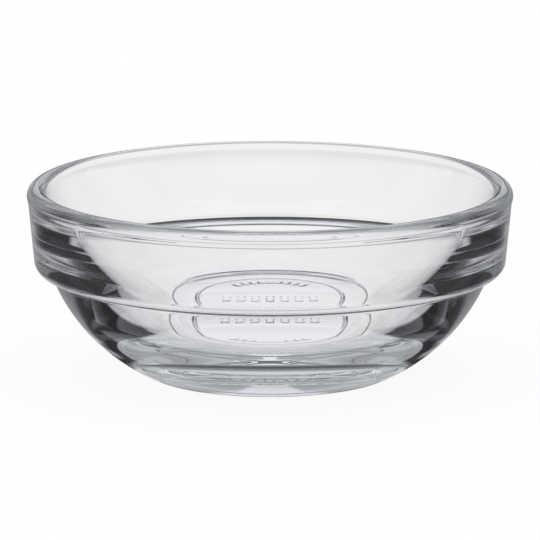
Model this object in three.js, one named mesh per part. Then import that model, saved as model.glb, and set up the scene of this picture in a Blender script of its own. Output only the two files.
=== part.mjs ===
// A clear pressed-glass prep bowl of the stacking kind, moulded in one piece.
// Millimetres, +Z up. The origin is at the middle of the plane that the bowl stands on.
import * as THREE from 'three';

// Overall sizes
const rimRadius = 45;
const bowlHeight = 35.3;

// Lip: a round bead, a little proud of the band under it and joined to it by a hollow neck
const lipRadius = 1.83;
const lipOverhang = 0.22;
const neckRadius = 4;

// Stacking band: the tapered collar between the lip and the ledge
const bandTaper = 1.25;
const shoulderRadius = 2.08;
const ledgeHeight = 19.15;
const ledgeWidth = 2.88;
const ledgeSlope = THREE.MathUtils.degToRad(11);
const ledgeFillet = 0.4;

// Lower body: one arc from the foot to the ledge, bulging out from its chord
const footRadius = 22.3;
const footEdge = 0.5;
const bodyBulge = 2.68;

// Underside: a narrow standing rim round a shallow recess with one raised line
const recessRadius = 20.6;
const recessDepth = 0.9;
const recessSlope = 0.25;
const lineRadius = 14.8;
const lineWidth = 1;
const lineHeight = 0.35;

// Inside: three arcs, each touching the next, from the lip down to a thick flat floor.
// A slope is counted from upright, where its arc begins.
const floorThickness = 6.4;
const wallSlope = THREE.MathUtils.degToRad(13.5);
const wallRadius = 55.4;
const bendSlope = THREE.MathUtils.degToRad(27.9);
const bendRadius = 39;
const hollowSlope = THREE.MathUtils.degToRad(38.5);

// Facets round the axis and along each stretch of the outline
const turnSegments = 72;
const lipSteps = 5;
const shoulderSteps = 5;
const bodySteps = 9;
const roundingSteps = 2;
const wallSteps = 5;
const bendSteps = 3;
const hollowSteps = 7;

const outline = [];
const leastStep = 0.001;

function goTo(radius, height) {
  follow([new THREE.Vector2(radius, height)]);
}

function follow(points) {
  for (const point of points) {
    const last = outline.at(-1);
    if (!last || last.distanceTo(point) > leastStep) {
      outline.push(point);
    }
  }
}

function pointAt(centre, distance, angle) {
  const offset = new THREE.Vector2(Math.cos(angle), Math.sin(angle)).multiplyScalar(distance);
  return centre.clone().add(offset);
}

function arcPoints(centre, radius, start, end, steps) {
  const clockwise = end < start;
  const arc = new THREE.EllipseCurve(centre.x, centre.y, radius, radius, start, end, clockwise);
  return arc.getPoints(steps);
}

function roundedCorner(from, corner, to) {
  return new THREE.QuadraticBezierCurve(from, corner, to).getPoints(roundingSteps);
}

// The body's arc runs through the foot's edge and the ledge's inner corner.
const bandBottomRadius = rimRadius - lipOverhang - bandTaper;
const foot = new THREE.Vector2(footRadius, 0);
const ledge = new THREE.Vector2(bandBottomRadius - ledgeWidth, ledgeHeight);
const chord = ledge.clone().sub(foot);
const bodyRadius = (chord.length() ** 2 / 4 + bodyBulge ** 2) / (2 * bodyBulge);
const inward = new THREE.Vector2(-chord.y, chord.x).normalize();
const bodyCentre = foot.clone().add(ledge).multiplyScalar(0.5);
bodyCentre.addScaledVector(inward, bodyRadius - bodyBulge);
const footAngle = foot.clone().sub(bodyCentre).angle() - 2 * Math.PI;
const ledgeAngle = ledge.clone().sub(bodyCentre).angle() - 2 * Math.PI;
const body = arcPoints(
  bodyCentre,
  bodyRadius,
  footAngle + footEdge / bodyRadius,
  ledgeAngle - ledgeFillet / bodyRadius,
  bodySteps,
);

// Underside, from the axis out to the standing rim
goTo(0, recessDepth);
goTo(lineRadius - lineWidth / 2, recessDepth);
goTo(lineRadius, recessDepth - lineHeight);
goTo(lineRadius + lineWidth / 2, recessDepth);
goTo(recessRadius, recessDepth);
goTo(recessRadius + recessSlope, 0);

// Foot's edge, lower body and the hollow corner under the ledge
const rimEdge = new THREE.Vector2(footRadius - footEdge, 0);
follow(roundedCorner(rimEdge, foot, body[0]));
follow(body);
follow(roundedCorner(body.at(-1), ledge, pointAt(ledge, ledgeFillet, ledgeSlope)));

// The band runs from the shoulder's sharp corner towards the height where the bead is as wide as the band.
const lipCentre = new THREE.Vector2(rimRadius - lipRadius, bowlHeight - lipRadius);
const shoulder = pointAt(ledge, ledgeWidth / Math.cos(ledgeSlope), ledgeSlope);
const bandTop = pointAt(lipCentre, lipRadius, -Math.acos(1 - lipOverhang / lipRadius));
const bandAngle = bandTop.clone().sub(shoulder).angle();

// Shoulder: an arc that touches the ledge and the band
const shoulderHalfAngle = (Math.PI + ledgeSlope - bandAngle) / 2;
const shoulderCentre = pointAt(
  shoulder,
  shoulderRadius / Math.sin(shoulderHalfAngle),
  bandAngle + shoulderHalfAngle,
);
const squareOn = Math.PI / 2;
follow(arcPoints(
  shoulderCentre,
  shoulderRadius,
  ledgeSlope - squareOn,
  bandAngle - squareOn,
  shoulderSteps,
));

// Neck: a hollow arc that touches the band from outside and the bead
const fromBand = pointAt(shoulder, neckRadius, bandAngle - squareOn);
const alongBand = pointAt(new THREE.Vector2(), 1, bandAngle);
const toLip = lipCentre.clone().sub(fromBand);
const rise = toLip.dot(alongBand);
const aside = Math.abs(toLip.cross(alongBand));
const neckRise = rise - Math.sqrt((lipRadius + neckRadius) ** 2 - aside ** 2);
const neckCentre = fromBand.addScaledVector(alongBand, neckRise);
const lipStart = neckCentre.clone().sub(lipCentre).angle() - 2 * Math.PI;
follow(arcPoints(neckCentre, neckRadius, bandAngle + squareOn, lipStart + Math.PI, roundingSteps));

// Lip, over to the inside, with a vertex at its widest and at its highest point
const lipWidest = 0;
const lipHighest = Math.PI / 2;
const lipInside = Math.PI - wallSlope;
follow(arcPoints(lipCentre, lipRadius, lipStart, lipWidest, roundingSteps));
follow(arcPoints(lipCentre, lipRadius, lipWidest, lipHighest, lipSteps));
follow(arcPoints(lipCentre, lipRadius, lipHighest, lipInside, lipSteps));

// Inside: the wall, the bend below it, and the hollow that runs level into the floor
function followInside(radius, fromSlope, toSlope, steps) {
  const centre = pointAt(outline.at(-1), radius, Math.PI - fromSlope);
  follow(arcPoints(centre, radius, -fromSlope, -toSlope, steps));
}

const floorHeight = recessDepth + floorThickness;
followInside(wallRadius, wallSlope, bendSlope, wallSteps);
followInside(bendRadius, bendSlope, hollowSlope, bendSteps);
const hollowRadius = (outline.at(-1).y - floorHeight) / (1 - Math.sin(hollowSlope));
followInside(hollowRadius, hollowSlope, Math.PI / 2, hollowSteps);
goTo(0, floorHeight);

// The outline is turned about the Y axis, and then stood up along +Z.
const bowlGeometry = new THREE.LatheGeometry(outline, turnSegments);
bowlGeometry.rotateX(Math.PI / 2);

const clearGlass = new THREE.MeshStandardMaterial({
  color: 0xe8efef,
  roughness: 0.04,
  metalness: 0,
  transparent: true,
  opacity: 0.35,
});

const bowl = new THREE.Mesh(bowlGeometry, clearGlass);
bowl.name = 'bowl';

const prepBowl = new THREE.Group();
prepBowl.add(bowl);

export default prepBowl;
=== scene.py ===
import math

import bmesh
import bpy
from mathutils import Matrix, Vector


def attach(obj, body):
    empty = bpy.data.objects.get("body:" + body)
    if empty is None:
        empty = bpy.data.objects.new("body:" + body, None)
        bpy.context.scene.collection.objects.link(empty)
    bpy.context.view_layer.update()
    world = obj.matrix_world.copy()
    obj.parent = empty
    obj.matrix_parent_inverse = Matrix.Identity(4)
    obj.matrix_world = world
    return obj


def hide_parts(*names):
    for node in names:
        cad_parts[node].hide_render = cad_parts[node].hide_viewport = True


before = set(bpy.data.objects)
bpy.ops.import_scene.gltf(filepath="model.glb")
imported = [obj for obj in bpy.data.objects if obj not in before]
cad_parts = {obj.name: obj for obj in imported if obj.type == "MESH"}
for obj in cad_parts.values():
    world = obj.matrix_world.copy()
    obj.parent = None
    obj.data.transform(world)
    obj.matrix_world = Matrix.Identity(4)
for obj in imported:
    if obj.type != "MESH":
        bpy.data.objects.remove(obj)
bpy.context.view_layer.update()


# Camera: the bowl is seen from a little above its rim, through a long lens and from well back,
# so the two ends of the rim's ellipse are almost alike.
photo_pixels = 540
focal_pixels = 8091.2
sensor_width = 36.0
view_elevation = math.radians(11.742)
view_distance = 1.5
view_height = 0.0192

camera_data = bpy.data.cameras.new("camera")
camera_data.sensor_width = sensor_width
camera_data.lens = focal_pixels / photo_pixels * sensor_width
camera = bpy.data.objects.new("camera", camera_data)
camera.location = (
    0.0,
    -view_distance * math.cos(view_elevation),
    view_height + view_distance * math.sin(view_elevation),
)
camera.rotation_euler = (math.pi / 2 - view_elevation, 0.0, 0.0)
bpy.context.scene.collection.objects.link(camera)
bpy.context.scene.camera = camera
bpy.context.scene.view_settings.view_transform = "Standard"


# Bearing: how far round the bowl a place or a direction lies, from 0 degrees straight behind it
# to 180 in front. The sheet and the room both read it, to show the glass black cards at its sides,
# as they stand round glass that is lit on white. The sheet also places its painted shadows and its
# painted lit patch by it.
def put(tree, value, socket):
    """Links a socket to another, or sets it to a number."""
    if isinstance(value, bpy.types.NodeSocket):
        tree.links.new(value, socket)
    else:
        socket.default_value = value


def calc(tree, operation, first, second=0.0):
    """Adds a math node."""
    node = tree.nodes.new("ShaderNodeMath")
    node.operation = operation
    put(tree, first, node.inputs[0])
    put(tree, second, node.inputs[1])
    return node.outputs[0]


bearing_group = bpy.data.node_groups.new("bearing", "ShaderNodeTree")
bearing_group.interface.new_socket("Place", in_out="INPUT", socket_type="NodeSocketVector")
bearing_group.interface.new_socket("Bearing", in_out="OUTPUT", socket_type="NodeSocketFloat")
nodes = bearing_group.nodes
links = bearing_group.links
inlet = nodes.new("NodeGroupInput")
outlet = nodes.new("NodeGroupOutput")
level_off = nodes.new("ShaderNodeVectorMath")
level_off.operation = "MULTIPLY"
level_off.inputs[1].default_value = (1.0, 1.0, 0.0)
outward = nodes.new("ShaderNodeVectorMath")
outward.operation = "NORMALIZE"
split = nodes.new("ShaderNodeSeparateXYZ")
links.new(inlet.outputs["Place"], level_off.inputs[0])
links.new(level_off.outputs[0], outward.inputs[0])
links.new(outward.outputs[0], split.inputs[0])
turn = calc(bearing_group, "ARCCOSINE", split.outputs["Y"])
links.new(calc(bearing_group, "DEGREES", turn), outlet.inputs["Bearing"])


def bearing_of(tree, place):
    """Adds the bearing of a place, in degrees."""
    node = tree.nodes.new("ShaderNodeGroup")
    node.node_tree = bearing_group
    tree.links.new(place, node.inputs["Place"])
    return node.outputs["Bearing"]


# Sweep: a round white table that curves up at its far edge into a low wall, all of one pale matt sheet.
# It shows white round and through the glass, with a soft grey ring of painted shadow,
# and it takes the bowl's shadow. Where the glass mirrors it, it shows painted black cards,
# the bowl's painted shadow, a painted lit patch and the painted contact shadow of the foot.
sweep_radius = 2.6
sweep_cove = 0.01
sweep_rise = 0.02
cove_steps = 8
sweep_steps = 96
weld_distance = 0.000001
half_turn = 180.0

# the camera sees most of the sheet as plain white, and the rest as matt paint that takes the shadow
sweep_colour = (0.99, 0.99, 0.99, 1.0)
plain_white = (1.0, 1.0, 1.0, 1.0)
white_level = 1.0
white_share = 0.93

# seen straight through the glass: levels by metres from the axis, with a painted shadow ring 59 to 79 mm
# out and painted shade from 15 cm out, and the foot's painted shadow behind the axis
straight_tint = (0.995, 0.995, 1.0, 1.0)
straight_reach = 0.4
straight_levels_with_shadow_ring = (
    (0.0, 0.95),
    (0.0585, 0.95),
    (0.0608, 0.48),
    (0.0700, 0.52),
    (0.0790, 0.95),
    (0.1460, 0.95),
    (0.1600, 0.88),
    (0.2000, 0.84),
    (0.4000, 0.90),
)
foot_shadow_start = 0.0197
foot_shadow_end = 0.0222
foot_shadow_soft = 0.0005
foot_shadow_bearings = (60.0, 40.0)
foot_shadow_level = 0.10

# seen mirrored in the glass: levels by bearing, near the bowl, further out and towards the horizon
# near the bowl the dark bearings are its painted shadow, and further out the dark sides are painted
# black cards
mirrored_tint = (0.93, 0.955, 1.0, 1.0)
near_bearings = (
    (0.0, 0.12),
    (20.0, 0.15),
    (42.0, 0.45),
    (58.0, 0.50),
    (74.0, 0.55),
    (82.0, 0.12),
    (92.0, 0.02),
    (180.0, 0.03),
)
far_start = 0.055
far_end = 0.11
far_bearings = (
    (0.0, 0.42),
    (40.0, 0.42),
    (54.0, 0.12),
    (64.0, 0.03),
    (136.0, 0.04),
    (150.0, 0.30),
    (180.0, 0.60),
)
horizon_start = 0.20
horizon_end = 0.45
horizon_bearings = (
    (0.0, 0.04),
    (5.0, 0.06),
    (10.0, 0.55),
    (58.0, 0.40),
    (64.0, 0.10),
    (136.0, 0.30),
    (180.0, 0.60),
)

# the lit patch on each side of the bowl's front, from a straight inner edge to a round outer one
patch_bearing = 127.0
patch_start = 0.0345
patch_end = 0.0415
patch_soft = 0.0012
patch_level = 0.6

# the ground under the bowl, with the painted contact shadow of its foot by metres from the axis, but
# plain behind
under_centre = (0.0, -0.013, 0.0)
under_edge = 0.0265
under_soft = 0.0015
under_reach = 0.040
under_levels_with_contact_shadow = (
    (0.0, 0.62),
    (0.0172, 0.66),
    (0.0196, 0.10),
    (0.0219, 0.05),
    (0.0235, 0.60),
    (0.0300, 0.70),
)
under_back_bearings = (100.0, 50.0)
under_back_level = 0.70

sweep_mesh = bmesh.new()
sweep_bottom = sweep_mesh.verts.new((0.0, 0.0, 0.0))
sweep_edge = sweep_mesh.verts.new((sweep_radius, 0.0, 0.0))
sweep_top = sweep_mesh.verts.new((sweep_radius, 0.0, sweep_rise))
sweep_mesh.edges.new((sweep_bottom, sweep_edge))
sweep_mesh.edges.new((sweep_edge, sweep_top))
bmesh.ops.bevel(
    sweep_mesh,
    geom=[sweep_edge],
    offset=sweep_cove,
    affect="VERTICES",
    segments=cove_steps,
    profile=0.5,
    material=-1,
)
bmesh.ops.spin(
    sweep_mesh,
    geom=sweep_mesh.verts[:] + sweep_mesh.edges[:],
    cent=(0.0, 0.0, 0.0),
    axis=(0.0, 0.0, 1.0),
    angle=2 * math.pi,
    steps=sweep_steps,
    use_merge=True,
)
bmesh.ops.remove_doubles(sweep_mesh, verts=sweep_mesh.verts[:], dist=weld_distance)
bmesh.ops.recalc_face_normals(sweep_mesh, faces=sweep_mesh.faces[:])
sweep_data = bpy.data.meshes.new("sweep")
sweep_mesh.to_mesh(sweep_data)
sweep_mesh.free()
sweep = bpy.data.objects.new("sweep", sweep_data)
bpy.context.scene.collection.objects.link(sweep)


def distance_from(tree, place, point):
    """Adds the distance of a place from a fixed point."""
    node = tree.nodes.new("ShaderNodeVectorMath")
    node.operation = "DISTANCE"
    node.inputs[1].default_value = point
    tree.links.new(place, node.inputs[0])
    return node.outputs["Value"]


def level_ramp(tree, source, stops, whole):
    """Adds a ramp of grey levels for a source that runs from 0 to the whole."""
    ramp = tree.nodes.new("ShaderNodeValToRGB")
    # a new stop starts half-way along, and is then moved to its own position
    while len(ramp.color_ramp.elements) < len(stops):
        ramp.color_ramp.elements.new(0.5)
    for stop, (position, level) in zip(ramp.color_ramp.elements, stops):
        stop.position = position / whole
        stop.color = (level, level, level, 1.0)
    tree.links.new(calc(tree, "DIVIDE", source, whole), ramp.inputs["Fac"])
    return ramp.outputs["Color"]


def fade(tree, source, start, end):
    """Adds a soft step from 0 at start to 1 at end."""
    step = tree.nodes.new("ShaderNodeMapRange")
    step.interpolation_type = "SMOOTHSTEP"
    step.inputs["From Min"].default_value = start
    step.inputs["From Max"].default_value = end
    tree.links.new(source, step.inputs["Value"])
    return step.outputs["Result"]


def blend_levels(tree, share, first, second):
    """Adds a mix of two levels, all of the second where the share is 1."""
    blend = tree.nodes.new("ShaderNodeMix")
    blend.data_type = "FLOAT"
    put(tree, share, blend.inputs["Factor"])
    put(tree, first, blend.inputs["A"])
    put(tree, second, blend.inputs["B"])
    return blend.outputs["Result"]


def glow(tree, kind, colour, strength):
    """Adds a shader that gives light by itself."""
    node = tree.nodes.new(kind)
    node.inputs["Color"].default_value = colour
    put(tree, strength, node.inputs["Strength"])
    return node.outputs[0]


def blend_shaders(tree, share, first, second):
    """Adds a mix of two shaders, all of the second where the share is 1."""
    blend = tree.nodes.new("ShaderNodeMixShader")
    tree.links.new(share, blend.inputs["Fac"])
    tree.links.new(first, blend.inputs[1])
    tree.links.new(second, blend.inputs[2])
    return blend.outputs[0]


def seen_in_glass(tree, path):
    """Adds a mask of the light that the glass bends or mirrors."""
    return calc(tree, "MAXIMUM", path.outputs["Is Glossy Ray"], path.outputs["Is Transmission Ray"])


def seen_mirrored(tree, path):
    """Adds a mask of the light that the glass mirrors once or more."""
    return calc(tree, "GREATER_THAN", path.outputs["Glossy Depth"], 0.0)


sweep_paint = bpy.data.materials.new("sweep_paint")
sweep_paint.use_nodes = True
tree = sweep_paint.node_tree
tree.nodes.clear()
path = tree.nodes.new("ShaderNodeLightPath")
place = tree.nodes.new("ShaderNodeTexCoord").outputs["Object"]
round_bowl = bearing_of(tree, place)
from_axis = distance_from(tree, place, (0.0, 0.0, 0.0))

# mirrored levels: the bowl's painted shadow near it, painted black cards further out at the sides, and a
# painted lit patch
near = level_ramp(tree, round_bowl, near_bearings, half_turn)
far = level_ramp(tree, round_bowl, far_bearings, half_turn)
horizon = level_ramp(tree, round_bowl, horizon_bearings, half_turn)
sheet = blend_levels(tree, fade(tree, from_axis, far_start, far_end), near, far)
sheet = blend_levels(tree, fade(tree, from_axis, horizon_start, horizon_end), sheet, horizon)
off_patch = calc(tree, "RADIANS", calc(tree, "SUBTRACT", round_bowl, patch_bearing))
along_patch = calc(tree, "MULTIPLY", calc(tree, "COSINE", off_patch), from_axis)
patch_in = fade(tree, along_patch, patch_start, patch_start + patch_soft)
patch_out = fade(tree, from_axis, patch_end, patch_end - patch_soft)
sheet = blend_levels(tree, calc(tree, "MULTIPLY", patch_in, patch_out), sheet, patch_level)
# the ground under the bowl, with the painted contact shadow of its foot
under = level_ramp(tree, from_axis, under_levels_with_contact_shadow, under_reach)
under = blend_levels(tree, fade(tree, round_bowl, *under_back_bearings), under, under_back_level)
from_under = distance_from(tree, place, under_centre)
sheet = blend_levels(tree, fade(tree, from_under, under_edge, under_edge + under_soft), under, sheet)
mirrored_sheet = glow(tree, "ShaderNodeEmission", mirrored_tint, sheet)

# straight levels: a painted shadow ring round the bowl, painted shade far out, and the foot's painted
# shadow behind the axis
straight = level_ramp(tree, from_axis, straight_levels_with_shadow_ring, straight_reach)
shadow_in = fade(tree, from_axis, foot_shadow_start, foot_shadow_start + foot_shadow_soft)
shadow_out = fade(tree, from_axis, foot_shadow_end, foot_shadow_end - foot_shadow_soft)
foot_shadow = calc(tree, "MULTIPLY", fade(tree, round_bowl, *foot_shadow_bearings), shadow_in)
foot_shadow = calc(tree, "MULTIPLY", foot_shadow, shadow_out)
straight = blend_levels(tree, foot_shadow, straight, foot_shadow_level)
straight_sheet = glow(tree, "ShaderNodeEmission", straight_tint, straight)
glass_sheet = blend_shaders(tree, seen_mirrored(tree, path), straight_sheet, mirrored_sheet)

matt = tree.nodes.new("ShaderNodeBsdfDiffuse")
matt.inputs["Color"].default_value = sweep_colour
white = glow(tree, "ShaderNodeEmission", plain_white, white_level)
whitened = calc(tree, "MULTIPLY", path.outputs["Is Camera Ray"], white_share)
bare_sheet = blend_shaders(tree, whitened, matt.outputs[0], white)
output = tree.nodes.new("ShaderNodeOutputMaterial")
shown_sheet = blend_shaders(tree, seen_in_glass(tree, path), bare_sheet, glass_sheet)
tree.links.new(shown_sheet, output.inputs["Surface"])
sweep_data.materials.append(sweep_paint)


# Studio: an even soft light from all sides, which is plain enough to show a colour as it is.
# Where the glass mirrors the room, it shows what stands round the bowl: a tall soft box behind it,
# black cards at its sides over a pale strip, grey above the cards, and dark overhead.
light_level = 1.0
room_tint = (0.92, 0.95, 1.0, 1.0)
straight_room_level = 0.04
glass_bounces = 32

# levels by bearing, and the degrees above the horizon where each layer of the room gives way to the next
strip_bearings = (
    (0.0, 0.04),
    (4.0, 0.06),
    (9.0, 0.65),
    (40.0, 0.55),
    (56.0, 0.45),
    (60.0, 0.06),
    (68.0, 0.06),
    (72.0, 0.60),
    (102.0, 0.50),
    (106.0, 0.02),
    (150.0, 0.05),
    (165.0, 0.25),
)
strip_top = (6.0, 8.0)
card_bearings = (
    (0.0, 0.08),
    (12.0, 0.12),
    (20.0, 0.30),
    (38.0, 0.55),
    (57.0, 0.45),
    (61.0, 0.03),
    (146.0, 0.03),
    (153.0, 0.30),
    (180.0, 0.35),
)
card_top = (29.0, 33.0)
middle_bearings = (
    (0.0, 0.50),
    (60.0, 0.50),
    (150.0, 0.45),
    (166.0, 0.12),
)
middle_top = (58.0, 63.0)
high_bearings = (
    (0.0, 0.45),
    (30.0, 0.42),
    (55.0, 0.38),
    (90.0, 0.30),
    (105.0, 0.14),
    (180.0, 0.10),
)
high_top = (80.0, 86.0)
overhead_level = 0.08

# the soft box: its bearing on either side, and its lower and upper edges
box_level = 0.90
box_bearings = (18.0, 12.0)
box_bottom = (8.5, 10.5)
box_top = (84.0, 80.0)

world = bpy.data.worlds.new("studio")
world.use_nodes = True
bpy.context.scene.world = world
tree = world.node_tree
tree.nodes.clear()
path = tree.nodes.new("ShaderNodeLightPath")
place = tree.nodes.new("ShaderNodeTexCoord").outputs["Generated"]
round_room = bearing_of(tree, place)
split = tree.nodes.new("ShaderNodeSeparateXYZ")
tree.links.new(place, split.inputs[0])
climb = calc(tree, "DEGREES", calc(tree, "ARCSINE", split.outputs["Z"]))

strip = level_ramp(tree, round_room, strip_bearings, half_turn)
cards = level_ramp(tree, round_room, card_bearings, half_turn)
middle = level_ramp(tree, round_room, middle_bearings, half_turn)
high = level_ramp(tree, round_room, high_bearings, half_turn)
room = blend_levels(tree, fade(tree, climb, *strip_top), strip, cards)
room = blend_levels(tree, fade(tree, climb, *card_top), room, middle)
room = blend_levels(tree, fade(tree, climb, *middle_top), room, high)
room = blend_levels(tree, fade(tree, climb, *high_top), room, overhead_level)
box = fade(tree, round_room, *box_bearings)
box = calc(tree, "MULTIPLY", box, fade(tree, climb, *box_bottom))
box = calc(tree, "MULTIPLY", box, fade(tree, climb, *box_top))
room = blend_levels(tree, box, room, box_level)
room = blend_levels(tree, seen_mirrored(tree, path), straight_room_level, room)

glass_room = glow(tree, "ShaderNodeBackground", room_tint, room)
soft_light = glow(tree, "ShaderNodeBackground", plain_white, light_level)
output = tree.nodes.new("ShaderNodeOutputWorld")
shown_room = blend_shaders(tree, seen_in_glass(tree, path), soft_light, glass_room)
tree.links.new(shown_room, output.inputs["Surface"])
bounces = bpy.context.scene.cycles
bounces.max_bounces = glass_bounces
bounces.glossy_bounces = glass_bounces
bounces.transmission_bounces = glass_bounces


# Bowl: one piece of clear glass, pressed in a mould and fire-polished, with a round lip,
# a tapered stacking band, a ledge under it, a curved body and a thick floor on a narrow rim.
mm = 0.001
rim_radius = 45.0 * mm
bowl_height = 35.3 * mm
lip_radius = 1.83 * mm
lip_overhang = 0.22 * mm
neck_fillet = 4.0 * mm
band_taper = 1.25 * mm
shoulder_round = 1.55 * mm
ledge_height = 19.15 * mm
ledge_width = 2.88 * mm
ledge_slope = math.radians(11.0)
ledge_fillet = 0.4 * mm
foot_radius = 22.3 * mm
foot_edge = 0.5 * mm
body_bulge = 2.68 * mm
recess_radius = 20.6 * mm
recess_depth = 0.9 * mm
recess_slope = 0.25 * mm
line_radius = 14.8 * mm
line_width = 1.0 * mm
line_height = 0.35 * mm
crease_round = 0.12 * mm
floor_thickness = 6.4 * mm
wall_slope = math.radians(13.5)
wall_radius = 55.4 * mm
bend_slope = math.radians(27.9)
bend_radius = 39.0 * mm
hollow_slope = math.radians(38.5)
body_steps = 40
neck_steps = 10
lip_steps = 44
wall_steps = 24
bend_steps = 14
hollow_steps = 64
corner_steps = 6
turn_steps = 224

bowl_mesh = bmesh.new()


def edge_to(start, radius, height):
    """Lengthens the outline by one straight edge, and gives its new end."""
    end = bowl_mesh.verts.new((radius, 0.0, height))
    bowl_mesh.edges.new((start, end))
    return end


def arc_about(start, centre, angle, steps):
    """Lengthens the outline by an arc, anticlockwise if the angle is positive, and gives its new end."""
    made = bmesh.ops.spin(
        bowl_mesh,
        geom=[start],
        cent=(centre.x, 0.0, centre.y),
        axis=(0.0, -1.0, 0.0),
        angle=angle,
        steps=steps,
    )
    return [part for part in made["geom_last"] if isinstance(part, bmesh.types.BMVert)][0]


def bend_inside(start, from_slope, to_slope, radius, steps):
    """Lengthens the inside by an arc between two slopes, each counted from upright."""
    to_centre = radius * Vector((-math.cos(from_slope), math.sin(from_slope)))
    centre = Vector((start.co.x, start.co.z)) + to_centre
    return arc_about(start, centre, from_slope - to_slope, steps)


# the lower body is one arc through the foot's edge and the ledge's corner
foot = Vector((foot_radius, 0.0))
band_bottom_radius = rim_radius - lip_overhang - band_taper
ledge = Vector((band_bottom_radius - ledge_width, ledge_height))
shoulder = Vector((band_bottom_radius, ledge_height + ledge_width * math.tan(ledge_slope)))
chord = ledge - foot
body_radius = (chord.length_squared / 4 + body_bulge**2) / (2 * body_bulge)
inward = Vector((-chord.y, chord.x)).normalized()
body_centre = (foot + ledge) / 2 + inward * (body_radius - body_bulge)
body_turn = 2 * math.asin(chord.length / 2 / body_radius)

# the neck is a hollow round that touches the band's line and the lip's circle
lip_centre = Vector((rim_radius - lip_radius, bowl_height - lip_radius))
neck_angle = -math.acos(1 - lip_overhang / lip_radius)
neck = lip_centre + lip_radius * Vector((math.cos(neck_angle), math.sin(neck_angle)))
up_band = (neck - shoulder).normalized()
off_band = Vector((up_band.y, -up_band.x))
from_lip = (shoulder + off_band * neck_fillet) - lip_centre
up_from_lip = from_lip.dot(up_band)
touching = (lip_radius + neck_fillet) ** 2
neck_run = -up_from_lip - math.sqrt(up_from_lip**2 - from_lip.length_squared + touching)
neck_centre = shoulder + off_band * neck_fillet + up_band * neck_run
to_lip = (lip_centre - neck_centre).normalized()
neck_turn = -(-off_band).angle(to_lip)
lip_start = math.atan2(-to_lip.y, -to_lip.x)

# the marks on the underside: a straight row of bars, and an arc of shorter bars before and behind it
mark_relief = 0.16 * mm
mark_edge = 0.3 * mm
mark_reach = 13.5 * mm
mark_cuts = 52
row_half_length = 10.2 * mm
row_half_width = 1.7 * mm
row_pitch = 2.9 * mm
row_bar = 1.1 * mm
arc_radius = 11.4 * mm
arc_half_width = 0.8 * mm
arc_half_angle = math.radians(40.0)
arc_end_edge = math.radians(2.25)
arc_pitch = math.radians(9.0)
arc_bar = math.radians(4.0)

# the outline runs from the middle of the underside round the lip to the middle of the floor
underside_middle = bowl_mesh.verts.new((0.0, 0.0, recess_depth))
marks_end = edge_to(underside_middle, mark_reach, recess_depth)
marked_edge = bowl_mesh.edges[:]
line_inner = edge_to(marks_end, line_radius - line_width / 2, recess_depth)
line_crest = edge_to(line_inner, line_radius, recess_depth - line_height)
line_outer = edge_to(line_crest, line_radius + line_width / 2, recess_depth)
recess_corner = edge_to(line_outer, recess_radius, recess_depth)
rim_corner = edge_to(recess_corner, recess_radius + recess_slope, 0.0)
foot_corner = edge_to(rim_corner, foot_radius, 0.0)
ledge_corner = arc_about(foot_corner, body_centre, body_turn, body_steps)
shoulder_corner = edge_to(ledge_corner, shoulder.x, shoulder.y)
band_top = shoulder + up_band * neck_run
band_end = edge_to(shoulder_corner, band_top.x, band_top.y)
neck_end = arc_about(band_end, neck_centre, neck_turn, neck_steps)
lip_end = arc_about(neck_end, lip_centre, math.pi - wall_slope - lip_start, lip_steps)
wall_end = bend_inside(lip_end, wall_slope, bend_slope, wall_radius, wall_steps)
bend_end = bend_inside(wall_end, bend_slope, hollow_slope, bend_radius, bend_steps)
floor_height = recess_depth + floor_thickness
hollow_radius = (bend_end.co.z - floor_height) / (1 - math.sin(hollow_slope))
hollow_end = bend_inside(bend_end, hollow_slope, math.pi / 2, hollow_radius, hollow_steps)
edge_to(hollow_end, 0.0, floor_height)

corner_rounds = (
    (line_inner, crease_round),
    (line_crest, crease_round),
    (line_outer, crease_round),
    (recess_corner, crease_round),
    (rim_corner, crease_round),
    (foot_corner, foot_edge),
    (ledge_corner, ledge_fillet),
    (shoulder_corner, shoulder_round),
)
for corner, size in corner_rounds:
    bmesh.ops.bevel(
        bowl_mesh,
        geom=[corner],
        offset=size,
        affect="VERTICES",
        segments=corner_steps,
        profile=0.5,
        material=-1,
    )
bmesh.ops.subdivide_edges(bowl_mesh, edges=marked_edge, cuts=mark_cuts)
bmesh.ops.spin(
    bowl_mesh,
    geom=bowl_mesh.verts[:] + bowl_mesh.edges[:],
    cent=(0.0, 0.0, 0.0),
    axis=(0.0, 0.0, 1.0),
    angle=2 * math.pi,
    steps=turn_steps,
    use_merge=True,
)
bmesh.ops.remove_doubles(bowl_mesh, verts=bowl_mesh.verts[:], dist=weld_distance)
bmesh.ops.recalc_face_normals(bowl_mesh, faces=bowl_mesh.faces[:])


def bar(distance, half_width, edge):
    """Gives 1 within half_width, and falls smoothly to 0 over the edge outside it."""
    share = min(max((half_width + edge - abs(distance)) / edge, 0.0), 1.0)
    return share * share * (3 - 2 * share)


def from_nearest(value, pitch):
    """Gives the distance to the nearest whole pitch."""
    return value - pitch * round(value / pitch)


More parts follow.
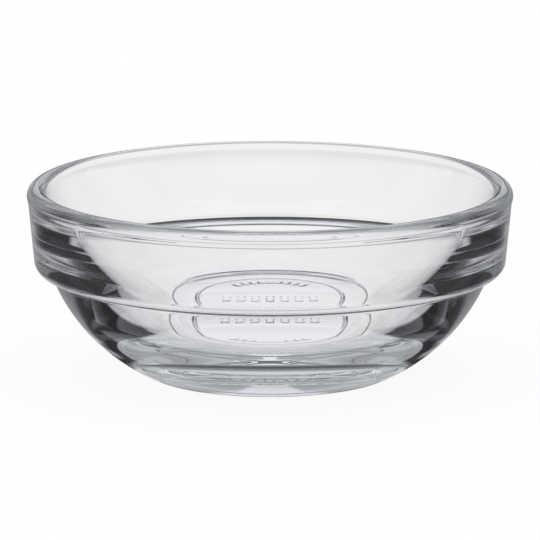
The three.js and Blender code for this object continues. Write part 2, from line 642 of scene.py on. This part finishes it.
# only the underside has the marks, and the floor above them stays flat
for vert in bowl_mesh.verts:
    off_axis = math.hypot(vert.co.x, vert.co.y)
    if off_axis > mark_reach or vert.co.z > floor_height / 2:
        continue
    off_middle = math.atan2(vert.co.x, abs(vert.co.y))
    row = bar(vert.co.x, row_half_length, mark_edge) * bar(vert.co.y, row_half_width, mark_edge)
    row *= bar(from_nearest(vert.co.x, row_pitch), row_bar / 2, mark_edge)
    arc = bar(off_axis - arc_radius, arc_half_width, mark_edge)
    arc *= bar(off_middle, arc_half_angle, arc_end_edge)
    arc *= bar(from_nearest(off_middle, arc_pitch), arc_bar / 2, mark_edge / arc_radius)
    vert.co.z -= mark_relief * max(row, arc)
bowl_mesh.normal_update()
for face in bowl_mesh.faces:
    face.smooth = True
bowl_data = bpy.data.meshes.new("glass_bowl")
bowl_mesh.to_mesh(bowl_data)
bowl_mesh.free()
glass_bowl = bpy.data.objects.new("glass_bowl", bowl_data)
bpy.context.scene.collection.objects.link(glass_bowl)
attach(glass_bowl, "root")
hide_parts("bowl")

# the glass has a faint cool tint and a little uneven polish, both in clouds, and faint level flow lines
glass_ior = 1.52
glass_cool = (0.988, 0.985, 1.0, 1.0)
glass_clear = (1.0, 0.997, 1.0, 1.0)
cool_cloud = 0.35
clear_cloud = 0.65
cloud_scale = 40.0
cloud_detail = 2.0
polished_cloud = 0.5
dull_cloud = 0.8
dull_roughness = 0.003
flow_scale = (25.0, 25.0, 420.0)
flow_detail = 3.0
flow_height = 0.0000002

clear_glass = bpy.data.materials.new("clear_glass")
clear_glass.use_nodes = True
nodes = clear_glass.node_tree.nodes
links = clear_glass.node_tree.links
shader = nodes["Principled BSDF"]
shader.inputs["IOR"].default_value = glass_ior
shader.inputs["Transmission Weight"].default_value = 1.0
place = nodes.new("ShaderNodeTexCoord")
clouds = nodes.new("ShaderNodeTexNoise")
clouds.inputs["Scale"].default_value = cloud_scale
clouds.inputs["Detail"].default_value = cloud_detail
links.new(place.outputs["Object"], clouds.inputs["Vector"])
tint = nodes.new("ShaderNodeValToRGB")
tint.color_ramp.elements[0].position = cool_cloud
tint.color_ramp.elements[0].color = glass_cool
tint.color_ramp.elements[1].position = clear_cloud
tint.color_ramp.elements[1].color = glass_clear
links.new(clouds.outputs["Fac"], tint.inputs["Fac"])
links.new(tint.outputs["Color"], shader.inputs["Base Color"])
polish = nodes.new("ShaderNodeMapRange")
polish.inputs["From Min"].default_value = polished_cloud
polish.inputs["From Max"].default_value = dull_cloud
polish.inputs["To Max"].default_value = dull_roughness
links.new(clouds.outputs["Fac"], polish.inputs["Value"])
links.new(polish.outputs["Result"], shader.inputs["Roughness"])
level = nodes.new("ShaderNodeMapping")
level.inputs["Scale"].default_value = flow_scale
links.new(place.outputs["Object"], level.inputs["Vector"])
flow = nodes.new("ShaderNodeTexNoise")
flow.inputs["Scale"].default_value = 1.0
flow.inputs["Detail"].default_value = flow_detail
links.new(level.outputs["Vector"], flow.inputs["Vector"])
ripple = nodes.new("ShaderNodeBump")
ripple.inputs["Strength"].default_value = 1.0
ripple.inputs["Distance"].default_value = flow_height
links.new(flow.outputs["Fac"], ripple.inputs["Height"])
links.new(ripple.outputs["Normal"], shader.inputs["Normal"])
bowl_data.materials.append(clear_glass)
